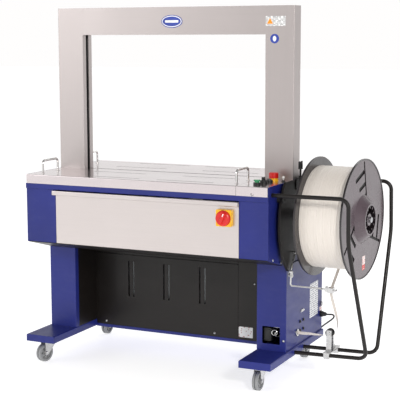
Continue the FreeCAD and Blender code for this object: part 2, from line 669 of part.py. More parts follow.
def flange(x, outward):
    """A reel flange with a thin rim and, outside, three groups of pockets: a long one with three barbs."""
    disc = rod((x, 0, REEL_Z), ALONG, FLANGE_RADIUS, FLANGE_THICKNESS)
    floor = x + FLANGE_THICKNESS - POCKET_DEPTH if outward > 0 else x + POCKET_DEPTH - 8
    group = fused([
        pocket(floor, (3, 229), (36, 78), 11),
        pocket(floor, (5, 189), (-86, 157), 17),
        pocket(floor, (22, 141), (-46, 118), 17),
        pocket(floor, (32, 98), (3, 84), 13),
    ])
    groups = []
    for i in range(3):
        cutter = group.copy()
        cutter.rotate(V(x, 0, REEL_Z), V(1, 0, 0), 120 * i)
        groups.append(cutter)
    start = x if outward < 0 else x + FLANGE_THICKNESS
    rim = ring((start, 0, REEL_Z), (outward, 0, 0), FLANGE_RADIUS, FLANGE_RADIUS - 4, 2)
    return fused([without(disc, groups), rim])


def reel_flanges():
    """Both flanges, the core between them, and outside a boss with a ribbed recess round the hub."""
    left = flange(REEL_LEFT, -1)
    right = flange(REEL_RIGHT - FLANGE_THICKNESS, 1)
    start = REEL_LEFT + FLANGE_THICKNESS
    width = REEL_RIGHT - REEL_LEFT - 2 * FLANGE_THICKNESS
    core = rod((start, 0, REEL_Z), ALONG, CORE_RADIUS, width)
    core = core.cut(ring((start + 6, 0, REEL_Z), ALONG, CORE_RADIUS - 5, 30, width - 12))
    boss = cone((REEL_RIGHT, 0, REEL_Z), ALONG, 97, 63, HUB_END - REEL_RIGHT)
    recess = ring((REEL_RIGHT + 4, 0, REEL_Z), ALONG, 56, 24, HUB_END - REEL_RIGHT - 4)
    above_hub = rod((HUB_END - 6, 0, REEL_Z), ALONG, 30, 8)
    fingers = []
    for i in range(12):
        finger = box(REEL_RIGHT + 2, HUB_END - 3, 44, 58, REEL_Z - 2, REEL_Z + 2)
        finger.rotate(V(REEL_RIGHT, 0, REEL_Z), V(1, 0, 0), 30 * i)
        fingers.append(finger)
    boss = fused([without(boss, [recess, above_hub])] + fingers)
    bore = rod((REEL_LEFT - 5, 0, REEL_Z), ALONG, SHAFT_RADIUS + FIT, 260)
    return [reel_turned(solid.cut(bore)) for solid in (left, right, core, boss)]


def strap_winding():
    width = REEL_RIGHT - REEL_LEFT - 2 * FLANGE_THICKNESS
    body = ring((REEL_LEFT + FLANGE_THICKNESS, 0, REEL_Z), ALONG, WINDING_RADIUS, CORE_RADIUS, width)
    return reel_turned(body.makeChamfer(2, [e for e in body.Edges if e.Length > 1200]))


def strip(stations):
    """A flat strip through (place, width direction) pairs."""
    places = [V(*place) for place, _ in stations]
    wires = []
    for i, place in enumerate(places):
        along = (places[min(i + 1, len(places) - 1)] - places[max(i - 1, 0)]).normalize()
        wide = V(*stations[i][1])
        wide = (wide - along * wide.dot(along)).normalize() * (STRAP_WIDTH / 2)
        thin = along.cross(wide).normalize() * (STRAP_THICKNESS / 2)
        corners = [place + wide + thin, place - wide + thin, place - wide - thin, place + wide - thin]
        wires.append(Part.makePolygon(corners + corners[:1]))
    return Part.makeLoft(wires, True, True)


def strap_run():
    """The strap from the winding through the dancer's guide and under the roller to the inlet."""
    x, y, z = ROLLER
    low = z - ROLLER_RADIUS - STRAP_THICKNESS
    return strip([
        (STRAP_LEAVES, ALONG), (GUIDE, ALONG), ((703, 0, 358), ALONG), ((709, 0, 336), ALONG),
        ((717, 0, 309), ALONG), ((726, 0, 278), (1, -0.3, 0)), ((732, 0, 250), (1, -0.9, 0)),
        ((732, 0, 226), (0.5, -1, 0.2)), ((726, 0, 206), (0, -1, 0)), ((716, 0, 193), (0, -1, 0)),
        ((708, 0, 189), (0, -1, 0)),
        ((x, 0, low), (0, -1, 0)), ((x - 24, 0, low), (0, -1, 0.3)), ((x - 52, 0, low), (0, -1, 1)),
        ((x - 84, 0, low), (0, -0.4, 1)), ((x - 115, 0, 187.5), UP), ((545, 0, 187), UP),
    ])


def guard(points):
    """A guard tube from the side panel down to the foot, cut flush with both."""
    beyond = [box(500, HALF_LENGTH, -400, 400, 700, 900), box(500, FOOT_OUTER, -400, 400, 50, 200)]
    return without(tube(points, GUARD_BENDS, GUARD_RADIUS), beyond)


def saddle(before, after, at_x):
    """A clamp block on a guard tube's bottom run."""
    a, b = V(*before), V(*after)
    share = (at_x - a.x) / (b.x - a.x)
    p = a + (b - a) * share
    block = box(at_x - 12, at_x + 12, p.y - 14, p.y + 14, p.z - 12, 124)
    return block.cut(rod(tuple(a), tuple((b - a).normalize()), GUARD_RADIUS + FIT, (b - a).Length))


def roller_bracket():
    """Two saddles on the guard tubes, a base, a yoke for the roller, its pin and a gusset."""
    x, y, z = ROLLER
    saddles = [saddle(route[3], route[4], x) for route in (FRONT_GUARD, REAR_GUARD)]
    base = box(x - 15, x + 15, -46, 95, 124, 127)
    yokes = [box(x - 11, x + 11, side, side + 2, 127, z + 12) for side in (-14, 12)]
    pin = rod((x, -17, z), BACK, 3, 34)
    nuts = [rod((x, side, z), BACK, 6, 3) for side in (-17, 14)]
    gusset = prism([(x - 1, 14, 127), (x - 1, 70, 127), (x - 1, 14, 200)], (2, 0, 0))
    return fused(saddles + [base, pin, gusset] + yokes + nuts)


def guide_roller():
    """A flanged roller on its pin."""
    x, y, z = ROLLER
    body = rod((x, -10.5, z), BACK, ROLLER_RADIUS, 21)
    flanges = [rod((x, side, z), BACK, ROLLER_RADIUS + 4, 2) for side in (-10.5, 8.5)]
    return fused([body] + flanges).cut(rod((x, -15, z), BACK, 3 + FIT, 30))


def arm_axes():
    """The arm's level direction and its pivot's axis."""
    level = V(ARM_END[0] - ARM_CORNER[0], ARM_END[1] - ARM_CORNER[1], 0).normalize()
    return level, level.cross(V(0, 0, 1))


def dancer_arm():
    """A bent rod hanging from its eye, with a square strap guide at its end."""
    level, axis = arm_axes()
    eye = V(*EYE)
    sleeve = rod(tuple(eye - axis * 4), tuple(axis), 9, 8)
    gx, gy, gz = GUIDE
    bar = tube([(EYE[0], EYE[1], EYE[2] - 6), ARM_CORNER, ARM_END, (gx - 14, 0, gz)], [10, 12], 3.2)
    loop = box(gx - 12, gx + 12, -15, 15, gz - 10, gz + 10)
    loop = loop.cut(box(gx - 8, gx + 8, -11, 11, gz - 11, gz + 11))
    clamp = box(gx - 26, gx - 12, -7, 7, gz - 8, gz + 8)
    screws = [rod((gx + 12, 0, gz), ALONG, 3, 14), rod((gx - 19, 0, gz - 8), UP, 3, 24)]
    wing = box(gx + 20, gx + 23, -11, 11, gz - 4, gz + 4)
    cap = box(gx - 24, gx - 14, -3.5, 3.5, gz + 11, gz + 15)
    bore = rod(tuple(eye - axis * 6), tuple(axis), 4 + FIT, 12)
    return fused([sleeve, bar, loop, clamp, wing, cap] + screws).cut(bore)


def plate_fittings():
    """The bright metal pieces: the brake link, the double-screw bar, the strap inlet and a round stud."""
    level, axis = arm_axes()
    eye = V(*EYE)
    cheeks = []
    for side in (-6.5, 4.5):
        centre = eye + axis * side
        cheeks.append(rod(tuple(centre), tuple(axis), 8, 2))
        outline = [centre + level * i * 6 + V(0, 0, j) for i, j in ((-1, 0), (1, 0), (1, 15), (-1, 15))]
        cheeks.append(prism([tuple(p) for p in outline], tuple(axis * 2)))
    bridge = rod(tuple(eye + V(0, 0, 13)), UP, 8.5, 5)
    pin = rod(tuple(eye - axis * 8), tuple(axis), 4, 16)
    top = V(PLATE_X + 16, -100, 540)
    low = eye + V(0, 0, 16)
    rise = (top - low).normalize()
    link = rod(tuple(low), tuple(rise), 2.6, (top - low).Length)
    barrel = fused([rod(tuple(low + rise * start), tuple(rise), radius, length)
                    for start, radius, length in ((14, 4.4, 7), (21, 3.6, 24), (45, 4.4, 7))])
    foot_pin = rod((PLATE_X + 6, -100, 540), ALONG, 6, 15)
    clevis = fused(cheeks + [bridge, pin, link, barrel, foot_pin])
    bar = box(LEG_OUTER, LEG_OUTER + 4, 37, 74, 264, 274)
    heads = [rod((LEG_OUTER + 4, y, 269), ALONG, 3.6, 2) for y in (43, 68)]
    inlet = ring((LEG_OUTER, 0, 187), ALONG, 15, 8.5, 6)
    rim = [e for e in inlet.Edges if e.Length > 90 and e.CenterOfMass.x > LEG_OUTER + 5]
    inlet = inlet.makeFillet(2, rim)
    stud = rod((LEG_OUTER, 292, 249), ALONG, 10, 9)
    stud = stud.makeFillet(2, [e for e in stud.Edges if e.CenterOfMass.x > LEG_OUTER + 8])
    return [clevis, fused([bar] + heads), inlet, stud]


def brake_adjuster():
    """The bracket on the back plate with the adjuster's screw."""
    x, y = PLATE_X + 20, -55
    shelf = box(PLATE_X + 6, x + 12, y - 14, y + 14, 836, 839)
    foot_plate = box(PLATE_X + 6, PLATE_X + 9, y - 14, y + 14, 790, 836)
    screw = rod((x, y, 810), UP, 4, 92)
    nut = rod((x, y, 839), UP, 8, 6)
    return fused([shelf, foot_plate, screw, nut])


def wing_knob():
    """A knob with two wings on the adjuster's screw."""
    x, y = PLATE_X + 20, -55
    hub = rod((x, y, 872), UP, 9, 22)
    wings = [box(x - 2, x + 2, y + side, y + side + 14, 878, 904) for side in (-21, 7)]
    wings = [soften(w, 1.8, lambda c: abs(c.z - 891) < 1) for w in wings]
    return fused([hub] + wings).cut(rod((x, y, 860), UP, 4 + FIT, 60))


def side_fittings():
    """The rubber bumper behind the back plate and the four rubber plugs on the right leg."""
    y, z = BUMPER
    tip = cone((HALF_LENGTH + 22, y, z), ALONG, 12, 8, 8)
    bumper = fused([rod((HALF_LENGTH, y, z), ALONG, 12, 22), tip])
    plugs = [fused([rod((LEG_OUTER, y, z), ALONG, 7, 2), rod((LEG_OUTER + 2, y, z), ALONG, 4.5, 3)])
             for y in (35, 75) for z in (188, 226)]
    return [bumper] + plugs


def screw_head(x, y, z, along):
    head = Part.makeSphere(6, V(0, 0, -2.5), V(0, 0, 1), 0, 90, 360)
    head = head.common(rod((0, 0, 0), UP, 5.4, 5))
    head = head.cut(rod((0, 0, 2), UP, 1.8, 3))
    placement = FreeCAD.Placement(V(x, y, z), FreeCAD.Rotation(V(0, 0, 1), V(*along)))
    head.Placement = placement
    return head


def screws():
    """The visible screw heads on the panels, sides, legs and rear."""
    panel_places = ((-86, 455), (344, 361), (157, 128), (-380, 128))
    heads = [screw_head(x, PANEL_Y, z, (0, -1, 0)) for x, z in panel_places]
    for y, z in ((-255, 533), (-169, 510)):
        heads.append(screw_head(HALF_LENGTH, y, z, ALONG))
        heads.append(screw_head(-HALF_LENGTH, y, z, (-1, 0, 0)))
    heads.append(screw_head(545, LEG_FRONT, 178, (0, -1, 0)))
    for x in (-400, 0, 400):
        for z in (130, 470):
            heads.append(screw_head(x, HALF_DEPTH, z, BACK))
    for x in (-530, 0, 530):
        for z in (510, 765):
            heads.append(screw_head(x, HALF_DEPTH, z, BACK))
    return heads


# ---------------------------------------------------------------- mains cable

def cable_gland():
    x, y, z = LEG_OUTER, 292, 203
    body = rod((x, y, z), ALONG, 13, 10)
    nut = cone((x + 10, y, z), ALONG, 11.5, 8, 16)
    return fused([body, nut])


def mains_cable():
    bends = cord_bends(CABLE_ROUTE)
    print("mains cable radii", [round(r) for r in bends])
    return tube(CABLE_ROUTE, bends, CABLE_RADIUS)


def cable_coil(cable):
    outer = COIL_RADIUS + 2 * CABLE_RADIUS + 0.5
    inner = COIL_RADIUS - 2 * CABLE_RADIUS - 0.5
    return ring((COIL_X, COIL_Y, 0), UP, outer, inner, 8 * CABLE_RADIUS + 0.5).cut(cable)


def mains_plug(coil):
    """A two-pin plug with its strain relief against the coil."""
    x, y, z = COIL_X + 26, COIL_Y + COIL_RADIUS + CABLE_RADIUS, 18.5
    relief = cone((x - 4, y, z), ALONG, 4.5, 7, 28)
    body = fused([cone((x + 24, y, z), ALONG, 10, 18, 12), rod((x + 36, y, z), ALONG, 18, 24)])
    pins = [rod((x + 60, y + side, z), ALONG, 2.4, 19) for side in (-9.5, 9.5)]
    return fused([relief, body] + pins).cut(coil)


# ---------------------------------------------------------------- the machine

def main():
    os.makedirs("parts", exist_ok=True)
    foot_solids = foot()
    right_leg = leg(True)
    save("feet", *(foot_solids + [mirrored(s) for s in foot_solids]))
    save("left_leg", mirrored(leg(False)))
    save("right_leg", right_leg)
    save("leg_inner_panels", inner_panel(), mirrored(inner_panel()))
    save("front_panel", *front_panel())
    save("rear_panels", *rear_panels())
    save("bottom_pan", bottom_pan())
    save("castor_plates", *[castor_plate(x, y) for _, x, y, _ in CASTORS])
    for name, x, y, angle in CASTORS:
        save(name + "_fork", turned(fork(), x, y, angle))
        save(name + "_wheel", turned(wheel(), x, y, angle))

    save("left_side_panel", mirrored(side_panel()))
    save("right_side_panel", side_panel())
    save("housing_front", *housing_front())
    save("housing_floor", housing_floor())
    save("front_door", front_door())
    save("switch_plate", switch_plate())
    save("switch_knob", switch_knob())

    save("front_table", table_half(True))
    save("rear_table", table_half(False))
    save("front_handles", handle(-500, -254, -138), handle(391, -247, -131))
    save("rear_handles", handle(-505, 94, 210), handle(391, 131, 247))
    save("control_plate", control_plate())
    save("control_bezels", *([bezel(x, y) for x, y in BUTTONS] + [toggle_nut()]))
    save("start_button", push_button(*BUTTONS[0], 11, 13))
    save("selector_knob", selector_knob(*BUTTONS[1]))
    save("reset_button", push_button(*BUTTONS[2], 4.5, 0))
    save("toggle_lever", toggle_lever())
    save("estop_body", estop_body())
    save("estop_button", estop_button())

    post_solids = post()
    save("left_post", *[mirrored(s) for s in post_solids])
    save("right_post", *post_solids)
    save("arch_beam", arch_beam())
    save("strap_track", *strap_track())
    save("sealing_head", sealing_head())
    save("drive_motor", drive_motor())
    save("accumulator_box", accumulator_box())

    save("back_plate", back_plate(), brake_adjuster())
    save("reel_shaft", *reel_shaft())
    save("reel_flanges", *reel_flanges())
    save("strap_winding", strap_winding())
    save("strap_run", strap_run())
    save("front_guard", guard(FRONT_GUARD))
    save("rear_guard", guard(REAR_GUARD))
    save("roller_bracket", roller_bracket())
    save("guide_roller", guide_roller())
    save("dancer_arm", dancer_arm())
    save("plate_fittings", *plate_fittings())
    save("wing_knob", wing_knob())
    save("side_fittings", *side_fittings())
    save("screws", *screws())

    cable = mains_cable()
    coil = cable_coil(cable)
    save("cable_gland", cable_gland())
    save("mains_cable", cable)
    save("cable_coil", coil)
    save("mains_plug", mains_plug(coil))


main()
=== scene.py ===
import math

import bmesh
import bpy
from mathutils import Matrix, Vector
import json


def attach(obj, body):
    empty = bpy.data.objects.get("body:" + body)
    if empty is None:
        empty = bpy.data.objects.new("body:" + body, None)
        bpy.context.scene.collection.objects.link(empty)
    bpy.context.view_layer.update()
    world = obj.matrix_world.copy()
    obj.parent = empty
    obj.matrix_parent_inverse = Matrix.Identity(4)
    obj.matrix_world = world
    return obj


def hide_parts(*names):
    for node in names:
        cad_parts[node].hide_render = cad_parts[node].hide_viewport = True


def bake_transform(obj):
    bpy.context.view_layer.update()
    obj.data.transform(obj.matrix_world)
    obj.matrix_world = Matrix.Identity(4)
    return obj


# A semi-automatic strapping machine: stainless arch and table, blue housing on castors, and a strap reel
# at the right. Places are in millimetres about the middle of the arch at floor level, and at() turns them
# into metres in the shared frame.

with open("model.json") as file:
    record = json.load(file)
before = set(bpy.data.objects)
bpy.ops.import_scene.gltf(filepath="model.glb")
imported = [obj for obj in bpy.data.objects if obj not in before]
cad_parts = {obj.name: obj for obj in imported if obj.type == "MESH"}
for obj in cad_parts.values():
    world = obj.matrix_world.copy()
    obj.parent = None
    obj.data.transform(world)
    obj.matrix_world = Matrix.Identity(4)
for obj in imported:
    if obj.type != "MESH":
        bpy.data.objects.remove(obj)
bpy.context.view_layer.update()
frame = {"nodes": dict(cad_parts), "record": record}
SLOT_OF = {part["node"]: part["material_slot"] for part in frame["record"]["subparts"]}
MIDDLE = Vector((156.0, -6.0, 0.0))
MM = 0.001
FRONT = (0, -1, 0)
RIGHT = (1, 0, 0)
BACK = (0, 1, 0)


def at(x, y, z):
    """A place about the middle of the arch, in millimetres, as row-frame metres."""
    return (Vector((x, y, z)) - MIDDLE) * MM


# ---------------------------------------------------------------- camera

CAMERA_PLACE = (2193.39, -4389.25, 1389.01)
CAMERA_TURN = 25.33          # degrees about the vertical, from looking straight back
CAMERA_DOWN = 7.92           # degrees below level
CAMERA_ROLL = -0.12


def make_camera():
    data = bpy.data.cameras.new("camera")
    data.sensor_fit = "HORIZONTAL"
    data.sensor_width = 36.0
    data.lens = 104.48
    data.clip_end = 200.0
    camera = bpy.data.objects.new("camera", data)
    turn = Matrix.Rotation(math.radians(CAMERA_TURN), 4, "Z")
    tilt = Matrix.Rotation(math.radians(90 - CAMERA_DOWN), 4, "X")
    roll = Matrix.Rotation(math.radians(CAMERA_ROLL), 4, "Z")
    camera.matrix_world = Matrix.Translation(at(*CAMERA_PLACE)) @ turn @ tilt @ roll
    bpy.context.scene.collection.objects.link(camera)
    bpy.context.scene.camera = camera


make_camera()


# ---------------------------------------------------------------- materials

def shade(colour, scale, lift=0.0):
    """The colour made lighter or darker."""
    return tuple(min(c * scale + lift, 1) for c in colour)


class Shader:
    """A small builder round one node material."""

    def __init__(self, name):
        self.material = bpy.data.materials.new(name)
        self.material.use_nodes = True
        self.nodes = self.material.node_tree.nodes
        self.links = self.material.node_tree.links
        self.surface = self.nodes["Principled BSDF"]
        self.place = self.add("ShaderNodeTexCoord").outputs["Object"]

    def add(self, kind, inputs=(), **settings):
        node = self.nodes.new(kind)
        for key, value in settings.items():
            setattr(node, key, value)
        for key, value in dict(inputs).items():
            self.put(node.inputs[key], value)
        return node

    def put(self, socket, value):
        if isinstance(value, bpy.types.NodeSocket):
            self.links.new(value, socket)
        elif isinstance(value, tuple) and len(value) == 3 and socket.type == "RGBA":
            socket.default_value = (*value, 1.0)
        else:
            socket.default_value = value

    def set(self, **values):
        for key, value in values.items():
            self.put(self.surface.inputs[key.replace("_", " ")], value)

    def scaled(self, x, y, z):
        node = self.add("ShaderNodeMapping", {"Vector": self.place, "Scale": (x, y, z)})
        return node.outputs[0]

    def noise(self, vector, scale, detail=3.0, rough=0.5):
        inputs = {"Vector": vector, "Scale": scale, "Detail": detail, "Roughness": rough}
        return self.add("ShaderNodeTexNoise", inputs).outputs["Fac"]

    def spread(self, value, low, high, start=0.0, end=1.0):
        inputs = {"Value": value, "From Min": start, "From Max": end, "To Min": low, "To Max": high}
        return self.add("ShaderNodeMapRange", inputs).outputs[0]

    def blend(self, share, a, b):
        node = self.add("ShaderNodeMix", data_type="RGBA")
        self.put(node.inputs["Factor"], share)
        self.put(node.inputs[6], a)
        self.put(node.inputs[7], b)
        return node.outputs[2]

    def math(self, operation, a, b=0.0):
        return self.add("ShaderNodeMath", {0: a, 1: b}, operation=operation).outputs[0]

    def painted_edge_highlight(self, colour, highlight_colour, radius, amount):
        """The colour, with a paler colour along sharp edges in noisy patches: a painted edge highlight.
        """
        bevel = self.add("ShaderNodeBevel", {"Radius": radius}, samples=4).outputs[0]
        flat = self.add("ShaderNodeNewGeometry").outputs["Normal"]
        dot = self.add("ShaderNodeVectorMath", {0: bevel, 1: flat}, operation="DOT_PRODUCT")
        patchy = self.noise(self.place, 45.0, 4.0)
        edge = self.spread(dot.outputs["Value"], amount, 0.0, 0.93, 0.995)
        return self.blend(self.math("MULTIPLY", edge, patchy), colour, highlight_colour)

    def bump(self, height, strength, distance, radius=0.0):
        inputs = {"Height": height, "Strength": strength, "Distance": distance}
        if radius:
            inputs["Normal"] = self.add("ShaderNodeBevel", {"Radius": radius}, samples=4).outputs[0]
        self.put(self.surface.inputs["Normal"], self.add("ShaderNodeBump", inputs).outputs[0])


def brushed(name, stretch, tint=(0.44, 0.4, 0.392), smooth=0.34, rough=0.44):
    """Brushed sheet steel; stretch is the scale along each axis, small along the grain."""
    s = Shader(name)
    grain = s.noise(s.scaled(*stretch), 1.0, 5.0, 0.7)
    cloud = s.noise(s.place, 4.0, 3.0)
    smears = s.noise(s.scaled(7, 7, 3), 1.3, 5.0)
    fine = s.blend(s.spread(grain, 0.0, 1.0, 0.3, 0.7), shade(tint, 0.965), shade(tint, 1.03))
    colour = s.blend(s.spread(cloud, 0.0, 0.2, 0.4, 0.8), fine, shade(tint, 0.86))
    low = s.spread(grain, smooth, rough, 0.25, 0.75)
    s.set(Base_Color=colour, Metallic=1.0, Roughness=s.math("ADD", low, s.spread(smears, -0.02, 0.05)))
    s.bump(grain, 0.03, 0.0001, 0.0005)
    return s.material


def powder(name, colour, rough, coat, peel=320.0, edge=(0.3, 0.3, 0.32), edge_highlight=0.35, dusty=0.02):
    """Sprayed or powder-coated sheet, with fine orange peel, dust, rubbed patches and paler edges, the
    edges a painted highlight.
    """
    s = Shader(name)
    fine = s.noise(s.place, peel, 2.0)
    wide = s.noise(s.place, 3.5, 4.0)
    dust = s.noise(s.scaled(1, 1, 2.5), 14.0, 6.0, 0.7)
    rubbed = s.noise(s.scaled(5, 5, 16), 1.0, 5.0, 0.6)
    base = s.blend(s.spread(wide, 0.0, 1.0, 0.3, 0.7), shade(colour, 0.84), shade(colour, 1.14, 0.001))
    base = s.blend(s.spread(dust, 0.0, dusty, 0.5, 0.8), base, (0.5, 0.5, 0.5))
    dulled = s.spread(dust, rough - 0.04, rough + 0.06, 0.3, 0.7)
    gloss = s.math("ADD", dulled, s.spread(rubbed, -0.04, 0.05, 0.3, 0.7))
    s.set(Base_Color=s.painted_edge_highlight(base, edge, 0.0012, edge_highlight), Roughness=gloss)
    s.set(Coat_Weight=coat, Coat_Roughness=0.1, Specular_IOR_Level=0.32)
    s.bump(fine, 0.1, 0.0003, 0.0012)
    return s.material


def moulded(name, colour, rough, speckle=700.0, strength=0.08, coat=0.0, sheen=None):
    """Moulded plastic or rubber with a fine spark-eroded texture, slight tone changes and a painted sheen
    along sharp edges.
    """
    s = Shader(name)
    fine = s.noise(s.place, speckle, 2.0)
    wide = s.noise(s.place, 18.0, 4.0)
    tone = s.blend(s.spread(wide, 0.0, 1.0, 0.3, 0.7), shade(colour, 0.85), shade(colour, 1.1, 0.003))
    s.set(Base_Color=s.painted_edge_highlight(tone, sheen or shade(colour, 1.5, 0.04), 0.0008, 0.4))
    s.set(Roughness=s.spread(wide, rough - 0.05, rough + 0.07, 0.3, 0.7))
    s.set(Coat_Weight=coat, Coat_Roughness=0.08)
    s.bump(fine, strength, 0.0002, 0.0006)
    return s.material


def sheen_painted_plastic(name, own_colour, painted_sheen, centre, radius):
    """Glossy moulded plastic, with a paler painted sheen on the outer face inside its rim."""
    s = Shader(name)
    wide = s.noise(s.place, 14.0, 5.0, 0.6)
    fine = s.noise(s.place, 420.0, 2.0)
    away = s.add("ShaderNodeVectorMath", {0: s.place, 1: centre}, operation="DISTANCE").outputs["Value"]
    normal = s.add("ShaderNodeNewGeometry").outputs["Normal"]
    facing = s.add("ShaderNodeSeparateXYZ", {"Vector": normal}).outputs["X"]
    # Painted sheen: faces turned outwards along the axis, inside the rim, get the paler colour in noisy
    # patches.
    outer = s.math("MULTIPLY", s.math("GREATER_THAN", facing, 0.3), s.math("LESS_THAN", away, radius))
    share = s.math("MULTIPLY", outer, s.spread(wide, 0.75, 1.0, 0.3, 0.7))
    s.set(Base_Color=s.painted_edge_highlight(s.blend(share, own_colour, painted_sheen), (0.14, 0.11, 0.12), 0.0008, 0.3))
    s.set(Roughness=s.spread(wide, 0.2, 0.34, 0.3, 0.7), Coat_Weight=0.3, Coat_Roughness=0.08)
    s.bump(fine, 0.05, 0.0002, 0.0006)
    return s.material


def plated(name, tint, rough, mottle=60.0):
    """Zinc plate, machined steel or chrome, mottled a little."""
    s = Shader(name)
    fine = s.noise(s.place, mottle, 5.0, 0.6)
    wide = s.noise(s.place, 8.0, 3.0)
    colour = s.blend(s.spread(fine, 0.0, 1.0, 0.35, 0.7), tint, shade(tint, 0.8))
    s.set(Base_Color=colour, Metallic=1.0, Roughness=s.spread(wide, rough, rough + 0.1, 0.3, 0.7))
    s.bump(fine, 0.06, 0.0002, 0.0006)
    return s.material


def strap_plastic(name, across):
    """Embossed polypropylene strap: a small diamond relief, faint seams, and a milky body."""
    s = Shader(name)
    waves = [s.add("ShaderNodeTexWave", {"Vector": vector, "Scale": 160.0}, bands_direction="DIAGONAL")
             for vector in (s.place, s.scaled(-1, 1, 1))]
    relief = s.math("MULTIPLY", *[wave.outputs["Fac"] for wave in waves])
    streak = s.noise(s.scaled(*across), 1.0, 4.0, 0.6)
    yellowed = s.noise(s.place, 6.0, 3.0)
    colour = s.blend(s.spread(streak, 0.0, 1.0, 0.3, 0.75), (0.76, 0.71, 0.66), (0.68, 0.63, 0.575))
    colour = s.blend(s.spread(yellowed, 0.0, 0.3, 0.4, 0.8), colour, (0.68, 0.625, 0.56))
    s.set(Base_Color=colour, Roughness=s.spread(streak, 0.36, 0.5), Subsurface_Weight=0.1)
    s.set(Subsurface_Radius=(0.006, 0.006, 0.006), Coat_Weight=0.08)
    s.bump(relief, 0.08, 0.0002)
    return s.material


def printed(name, ground, ink, rows, axis, share=0.55, start=0.0):
    """A sticker whose ink runs in broken rows, like lines of print, that spell nothing."""
    s = Shader(name)
    parts = s.add("ShaderNodeSeparateXYZ", {"Vector": s.place}).outputs
    line = s.math("FRACT", s.math("MULTIPLY", parts["Z"], rows))
    row = s.math("FLOOR", s.math("MULTIPLY", parts["Z"], rows))
    along = s.add("ShaderNodeCombineXYZ", {"X": parts[axis], "Y": row}).outputs[0]
    breaks = s.add("ShaderNodeTexNoise", {"Vector": along, "Scale": 90.0, "Detail": 1.0}).outputs["Fac"]
    inked = s.math("GREATER_THAN", breaks, 0.47 + start)
    on = s.math("MULTIPLY", s.math("LESS_THAN", line, share), inked)
    paper = s.blend(s.spread(s.noise(s.place, 30.0), 0.0, 0.12), ground, shade(ground, 0.8))
    s.set(Base_Color=s.blend(s.math("MULTIPLY", on, 0.85), paper, ink))
    s.set(Roughness=s.spread(breaks, 0.28, 0.36))
    s.bump(breaks, 0.03, 0.0001)
    return s.material


BLUE = (0.011, 0.018, 0.165)
BLACK = (0.006, 0.004, 0.0032)
FLANGE_MIDDLE = (0.68, -0.008, 0.68)     # metres in the shared frame, on the outer flange's face, at the painted sheen's centre
SHEEN_RADIUS = 0.2335                     # metres, just inside the flange's rim: how far the painted sheen reaches

MATERIALS = {
    "blue_paint": powder("blue_paint", BLUE, 0.4, 0.08, edge=(0.04, 0.06, 0.3)),
    "black_paint": powder("black_paint", BLACK, 0.38, 0.04, 420.0, (0.05, 0.045, 0.045), dusty=0.004),
    "stainless": brushed("stainless_along", (4, 700, 700)),
    "machined_steel": plated("machined_steel", (0.5, 0.5, 0.52), 0.28),
    "zinc_plate": plated("zinc_plate", (0.62, 0.62, 0.62), 0.2),
    "galvanised": plated("galvanised", (0.5, 0.52, 0.53), 0.4, 24.0),
    "chrome": plated("chrome", (0.72, 0.71, 0.7), 0.07, 20.0),
    "motor_paint": powder("motor_paint", (0.14, 0.16, 0.18), 0.5, 0.0),
    "yellow_plastic": moulded("yellow_plastic", (0.88, 0.47, 0.006), 0.36, coat=0.1),
    "red_plastic": moulded("red_plastic", (0.62, 0.006, 0.004), 0.34, coat=0.1),
    "green_plastic": moulded("green_plastic", (0.008, 0.27, 0.09), 0.25, coat=0.4),
    "black_plastic": moulded("black_plastic", (0.009, 0.009, 0.01), 0.36),
    "grey_plastic": moulded("grey_plastic", (0.09, 0.09, 0.095), 0.36),
    "white_plastic": moulded("white_plastic", (0.83, 0.82, 0.8), 0.3, coat=0.3),
    # The reel's plastic: dark, with a painted sheen on the outer flange's face.
    "reel_plastic": sheen_painted_plastic("reel_plastic", (0.016, 0.012, 0.014), (0.085, 0.058, 0.072),
                                   FLANGE_MIDDLE, SHEEN_RADIUS),
    "strap": strap_plastic("strap", (260, 4, 4)),
    "rubber": moulded("rubber", (0.01, 0.01, 0.01), 0.55, 300.0, 0.2),
    "cable_rubber": moulded("cable_rubber", (0.009, 0.009, 0.01), 0.42, 900.0, 0.12),
    "wheel_tread": moulded("wheel_tread", (0.27, 0.275, 0.28), 0.5, 260.0, 0.25, sheen=(0.5, 0.5, 0.5)),
}
# The posts share the stainless tint and differ only in grain direction. The table and door are paler
# copies of the same stainless: painted reflection, so that they read lighter than the arch. Their lower
# roughness is a real difference of finish.
UPRIGHT_STEEL = brushed("stainless_upright", (700, 700, 4))
TABLE_STEEL = brushed("stainless_table", (4, 700, 700), tint=(0.66, 0.6, 0.605), smooth=0.12, rough=0.22)
DOOR_STEEL = brushed("stainless_door", (4, 700, 700), tint=(0.6, 0.55, 0.535), smooth=0.26, rough=0.36)
NODE_MATERIALS = {
    "left_post": UPRIGHT_STEEL, "right_post": UPRIGHT_STEEL,
    "front_table": TABLE_STEEL, "rear_table": TABLE_STEEL, "control_plate": TABLE_STEEL,
    "front_door": DOOR_STEEL,
}


def dress_nodes():
    """Give every CAD node the material of its slot, or its own."""
    for name, node in frame["nodes"].items():
        material = NODE_MATERIALS.get(name, MATERIALS[SLOT_OF[name]])
        if not node.material_slots:
            node.data.materials.append(material)
        for slot in node.material_slots:
            slot.link = "OBJECT"
            slot.material = material


# ---------------------------------------------------------------- mesh helpers

def finish_piece(name, bm, body, material, smooth_angle=40.0):
    mesh = bpy.data.meshes.new(name)
    bmesh.ops.recalc_face_normals(bm, faces=bm.faces)
    for face in bm.faces:
        face.smooth = True
    sharp = math.radians(smooth_angle)
    for edge in bm.edges:
        edge.smooth = len(edge.link_faces) != 2 or edge.calc_face_angle() < sharp
    bm.to_mesh(mesh)
    bm.free()
    mesh.materials.append(material)
    piece = bpy.data.objects.new(name, mesh)
    bpy.context.scene.collection.objects.link(piece)
    if body:
        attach(piece, body)
    return piece


